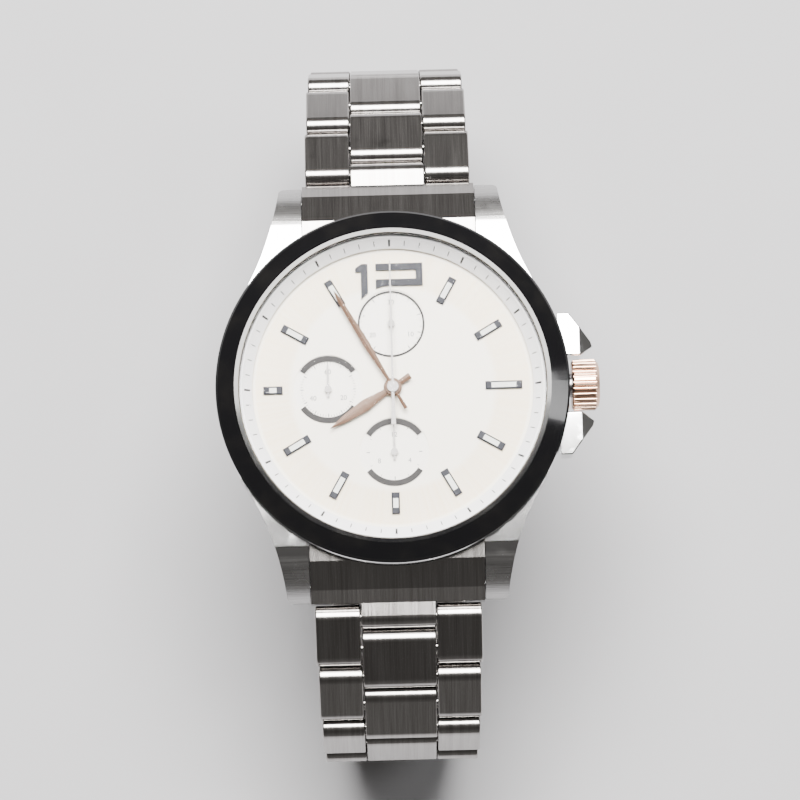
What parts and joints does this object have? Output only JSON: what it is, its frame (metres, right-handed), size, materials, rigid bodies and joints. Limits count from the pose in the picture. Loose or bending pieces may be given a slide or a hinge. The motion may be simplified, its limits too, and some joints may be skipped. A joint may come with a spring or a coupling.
{
  "type": "chronograph wristwatch",
  "caption": "Round analogue chronograph wristwatch with three counters, crown, two pushers and a three-row link bracelet closed round by a fold-over clasp.",
  "frame": {"origin": "centre of the case back's outer face", "axes": "+Z out through the dial, +Y to twelve o'clock, +X to three o'clock, where the crown is"},
  "size_m": [0.0481, 0.0912, 0.0479],
  "materials": {
    "polished_steel": "polished",
    "brushed_steel": "brushed along the bracelet",
    "dark_steel": "satin",
    "black_bezel": "gloss",
    "rose_gold": "polished",
    "crystal": "polished",
    "dial_white": "fine matt lacquer",
    "rehaut_white": "satin",
    "marker_grey": "gloss",
    "marker_filling": "matt",
    "numeral_grey": "gloss",
    "arc_grey": "satin",
    "hand_rose": "polished",
    "hand_dark": "gloss",
    "gasket": "matt",
    "movement_ring": "matt",
    "plate_nickel": "grained",
    "brass_wheel": "polished",
    "screw_steel": "polished",
    "spring_steel": "drawn wire"
  },
  "bodies": {
    "case": {"case_middle": "polished_steel", "bezel": "black_bezel", "crystal": "crystal", "crystal_gasket": "gasket", "rehaut_ring": "rehaut_white", "case_back": "polished_steel", "case_back_gasket": "gasket", "dial": "dial_white", "hour_markers": "marker_grey", "marker_fillings": "marker_filling", "numeral_twelve": "numeral_grey", "counter_arcs": "arc_grey", "movement_ring": "movement_ring", "main_plate": "plate_nickel", "train_bridge": "plate_nickel", "balance_cock": "plate_nickel", "bridge_screws": "screw_steel", "mainspring_barrel": "brass_wheel", "hairspring": "spring_steel", "crown_tube": "spring_steel", "pusher_spring_top": "spring_steel", "pusher_spring_bottom": "spring_steel", "lug_spring_bars": "spring_steel", "end_link_12": "brushed_steel", "end_link_6": "brushed_steel"},
    "minute_hand": {"minute_hand": "hand_rose", "cannon_pinion": "brass_wheel"},
    "minute_wheel": {"minute_wheel": "brass_wheel"},
    "hour_hand": {"hour_hand": "hand_rose", "hour_wheel": "brass_wheel"},
    "small_seconds": {"small_seconds_hand": "hand_dark"},
    "chronograph_hand": {"chronograph_hand": "hand_dark"},
    "minute_counter": {"minute_counter_hand": "hand_dark"},
    "hour_counter": {"hour_counter_hand": "hand_dark"},
    "balance": {"balance_wheel": "brass_wheel"},
    "rotor": {"winding_rotor": "plate_nickel"},
    "setting_lever": {"setting_lever": "plate_nickel"},
    "crown": {"crown": "rose_gold", "winding_stem": "spring_steel"},
    "pusher_top": {"pusher_top": "polished_steel"},
    "pusher_bottom": {"pusher_bottom": "polished_steel"},
    "clasp_blade_inner": {"clasp_blade_inner": "dark_steel"},
    "clasp_blade_outer": {"clasp_blade_outer": "dark_steel"},
    "clasp_cover": {"clasp_cover": "brushed_steel"},
    "clasp_button_left": {"clasp_button_left": "polished_steel"},
    "clasp_button_right": {"clasp_button_right": "polished_steel"},
    "link_12_1": {"link_12_1": "brushed_steel"},
    "link_12_2": {"link_12_2": "brushed_steel"},
    "link_12_3": {"link_12_3": "brushed_steel"},
    "link_12_4": {"link_12_4": "brushed_steel"},
    "link_12_5": {"link_12_5": "brushed_steel"},
    "link_12_6": {"link_12_6": "brushed_steel"},
    "link_12_7": {"link_12_7": "brushed_steel"},
    "link_6_1": {"link_6_1": "brushed_steel"},
    "link_6_2": {"link_6_2": "brushed_steel"},
    "link_6_3": {"link_6_3": "brushed_steel"},
    "link_6_4": {"link_6_4": "brushed_steel"},
    "link_6_5": {"link_6_5": "brushed_steel"},
    "link_6_6": {"link_6_6": "brushed_steel"},
    "link_6_7": {"link_6_7": "brushed_steel"}
  },
  "joints": [
    {"name": "minute_hand_turn", "type": "hinge", "parent": "case", "child": "minute_hand", "pos_m": [0, 0, 0.0082], "axis": [0, 0, -1], "continuous": true},
    {"name": "minute_wheel_turn", "type": "hinge", "parent": "case", "child": "minute_wheel", "pos_m": [-0.00271, -0.00271, 0.0058], "axis": [0, 0, -1], "continuous": true},
    {"name": "hour_hand_turn", "type": "hinge", "parent": "case", "child": "hour_hand", "pos_m": [0, 0, 0.00785], "axis": [0, 0, -1], "continuous": true},
    {"name": "small_seconds_turn", "type": "hinge", "parent": "case", "child": "small_seconds", "pos_m": [-0.0081, 0, 0.0075], "axis": [0, 0, -1], "continuous": true},
    {"name": "chronograph_turn", "type": "hinge", "parent": "case", "child": "chronograph_hand", "pos_m": [0, 0, 0.00855], "axis": [0, 0, -1], "continuous": true},
    {"name": "minute_counter_turn", "type": "hinge", "parent": "case", "child": "minute_counter", "pos_m": [0, 0.0081, 0.0075], "axis": [0, 0, -1], "continuous": true},
    {"name": "hour_counter_turn", "type": "hinge", "parent": "case", "child": "hour_counter", "pos_m": [0, -0.0081, 0.0075], "axis": [0, 0, -1], "continuous": true},
    {"name": "balance_swing", "type": "hinge", "parent": "case", "child": "balance", "pos_m": [0.0005, -0.0064, 0.0036], "axis": [0, 0, -1], "range_deg": [-135, 135], "deforming": ["hairspring"]},
    {"name": "rotor_turn", "type": "hinge", "parent": "case", "child": "rotor", "pos_m": [0, 0, 0.0013], "axis": [0, 0, -1], "continuous": true},
    {"name": "crown_pull", "type": "slide", "parent": "case", "child": "setting_lever", "axis": [1, 0, 0], "range_m": [0, 0.0012]},
    {"name": "crown_turn", "type": "hinge", "parent": "setting_lever", "child": "crown", "pos_m": [0.024, 0, 0.0052], "axis": [1, 0, 0], "continuous": true},
    {"name": "pusher_top_press", "type": "slide", "parent": "case", "child": "pusher_top", "axis": [-1, 0, 0], "range_m": [0, 0.0008], "stiffness_N_per_m": 800, "deforming": ["pusher_spring_top"]},
    {"name": "pusher_bottom_press", "type": "slide", "parent": "case", "child": "pusher_bottom", "axis": [-1, 0, 0], "range_m": [0, 0.0008], "stiffness_N_per_m": 800, "deforming": ["pusher_spring_bottom"]},
    {"name": "link_12_1_pivot", "type": "hinge", "parent": "case", "child": "link_12_1", "pos_m": [0, 0.0282, 0.002], "axis": [1, 0, 0], "range_deg": [0, 25]},
    {"name": "link_12_2_pivot", "type": "hinge", "parent": "link_12_1", "child": "link_12_2", "pos_m": [0, 0.03545, -0.00138], "axis": [1, 0, 0], "range_deg": [0, 15]},
    {"name": "link_12_3_pivot", "type": "hinge", "parent": "link_12_2", "child": "link_12_3", "pos_m": [0, 0.04158, -0.00652], "axis": [1, 0, 0], "range_deg": [0, 32]},
    {"name": "link_12_4_pivot", "type": "hinge", "parent": "link_12_3", "child": "link_12_4", "pos_m": [0, 0.04405, -0.01413], "axis": [1, 0, 0], "range_deg": [0, 28]},
    {"name": "link_12_5_pivot", "type": "hinge", "parent": "link_12_4", "child": "link_12_5", "pos_m": [0, 0.04266, -0.02201], "axis": [1, 0, 0], "range_deg": [0, 26]},
    {"name": "link_12_6_pivot", "type": "hinge", "parent": "link_12_5", "child": "link_12_6", "pos_m": [0, 0.03796, -0.02848], "axis": [1, 0, 0], "range_deg": [0, 24]},
    {"name": "link_12_7_pivot", "type": "hinge", "parent": "link_12_6", "child": "link_12_7", "pos_m": [0, 0.03103, -0.03248], "axis": [1, 0, 0], "range_deg": [0, 20]},
    {"name": "link_6_1_pivot", "type": "hinge", "parent": "case", "child": "link_6_1", "pos_m": [0, -0.0282, 0.002], "axis": [-1, 0, 0], "range_deg": [0, 25]},
    {"name": "link_6_2_pivot", "type": "hinge", "parent": "link_6_1", "child": "link_6_2", "pos_m": [0, -0.03545, -0.00138], "axis": [-1, 0, 0], "range_deg": [0, 15]},
    {"name": "link_6_3_pivot", "type": "hinge", "parent": "link_6_2", "child": "link_6_3", "pos_m": [0, -0.04158, -0.00652], "axis": [-1, 0, 0], "range_deg": [0, 32]},
    {"name": "link_6_4_pivot", "type": "hinge", "parent": "link_6_3", "child": "link_6_4", "pos_m": [0, -0.04405, -0.01413], "axis": [-1, 0, 0], "range_deg": [0, 28]},
    {"name": "link_6_5_pivot", "type": "hinge", "parent": "link_6_4", "child": "link_6_5", "pos_m": [0, -0.04266, -0.02201], "axis": [-1, 0, 0], "range_deg": [0, 26]},
    {"name": "link_6_6_pivot", "type": "hinge", "parent": "link_6_5", "child": "link_6_6", "pos_m": [0, -0.03796, -0.02848], "axis": [-1, 0, 0], "range_deg": [0, 24]},
    {"name": "link_6_7_pivot", "type": "hinge", "parent": "link_6_6", "child": "link_6_7", "pos_m": [0, -0.03103, -0.03248], "axis": [-1, 0, 0], "range_deg": [0, 20]},
    {"name": "clasp_pivot", "type": "hinge", "parent": "link_6_7", "child": "clasp_blade_inner", "pos_m": [0, -0.02315, -0.03387], "axis": [-1, 0, 0], "range_deg": [0, 10]},
    {"name": "clasp_fold", "type": "hinge", "parent": "clasp_blade_inner", "child": "clasp_blade_outer", "pos_m": [0, 0.0156, -0.03375], "axis": [1, 0, 0], "range_deg": [0, 150]},
    {"name": "clasp_cover_pivot", "type": "hinge", "parent": "clasp_blade_outer", "child": "clasp_cover", "pos_m": [0, -0.0186, -0.0352], "axis": [-1, 0, 0], "range_deg": [0, 150]},
    {"name": "clasp_button_right_press", "type": "slide", "parent": "clasp_cover", "child": "clasp_button_right", "axis": [-1, 0, 0], "range_m": [0, 0.0006], "stiffness_N_per_m": 800},
    {"name": "clasp_button_left_press", "type": "slide", "parent": "clasp_cover", "child": "clasp_button_left", "axis": [1, 0, 0], "range_m": [0, 0.0006], "stiffness_N_per_m": 800}
  ],
  "couplings": [
    {"joint": "minute_wheel_turn", "follows": "minute_hand_turn", "ratio": -0.33333},
    {"joint": "hour_hand_turn", "follows": "minute_hand_turn", "ratio": 0.083333},
    {"joint": "small_seconds_turn", "follows": "minute_hand_turn", "ratio": 60},
    {"joint": "minute_counter_turn", "follows": "chronograph_turn", "ratio": 0.033333},
    {"joint": "hour_counter_turn", "follows": "chronograph_turn", "ratio": 0.001389},
    {"joint": "link_12_2_pivot", "follows": "link_12_1_pivot", "ratio": 0.6},
    {"joint": "link_12_3_pivot", "follows": "link_12_1_pivot", "ratio": 1.28},
    {"joint": "link_12_4_pivot", "follows": "link_12_1_pivot", "ratio": 1.12},
    {"joint": "link_12_5_pivot", "follows": "link_12_1_pivot", "ratio": 1.04},
    {"joint": "link_12_6_pivot", "follows": "link_12_1_pivot", "ratio": 0.96},
    {"joint": "link_12_7_pivot", "follows": "link_12_1_pivot", "ratio": 0.8},
    {"joint": "link_6_2_pivot", "follows": "link_6_1_pivot", "ratio": 0.6},
    {"joint": "link_6_3_pivot", "follows": "link_6_1_pivot", "ratio": 1.28},
    {"joint": "link_6_4_pivot", "follows": "link_6_1_pivot", "ratio": 1.12},
    {"joint": "link_6_5_pivot", "follows": "link_6_1_pivot", "ratio": 1.04},
    {"joint": "link_6_6_pivot", "follows": "link_6_1_pivot", "ratio": 0.96},
    {"joint": "link_6_7_pivot", "follows": "link_6_1_pivot", "ratio": 0.8},
    {"joint": "clasp_pivot", "follows": "link_6_1_pivot", "ratio": 0.4},
    {"joint": "clasp_cover_pivot", "follows": "clasp_fold", "ratio": 1}
  ]
}
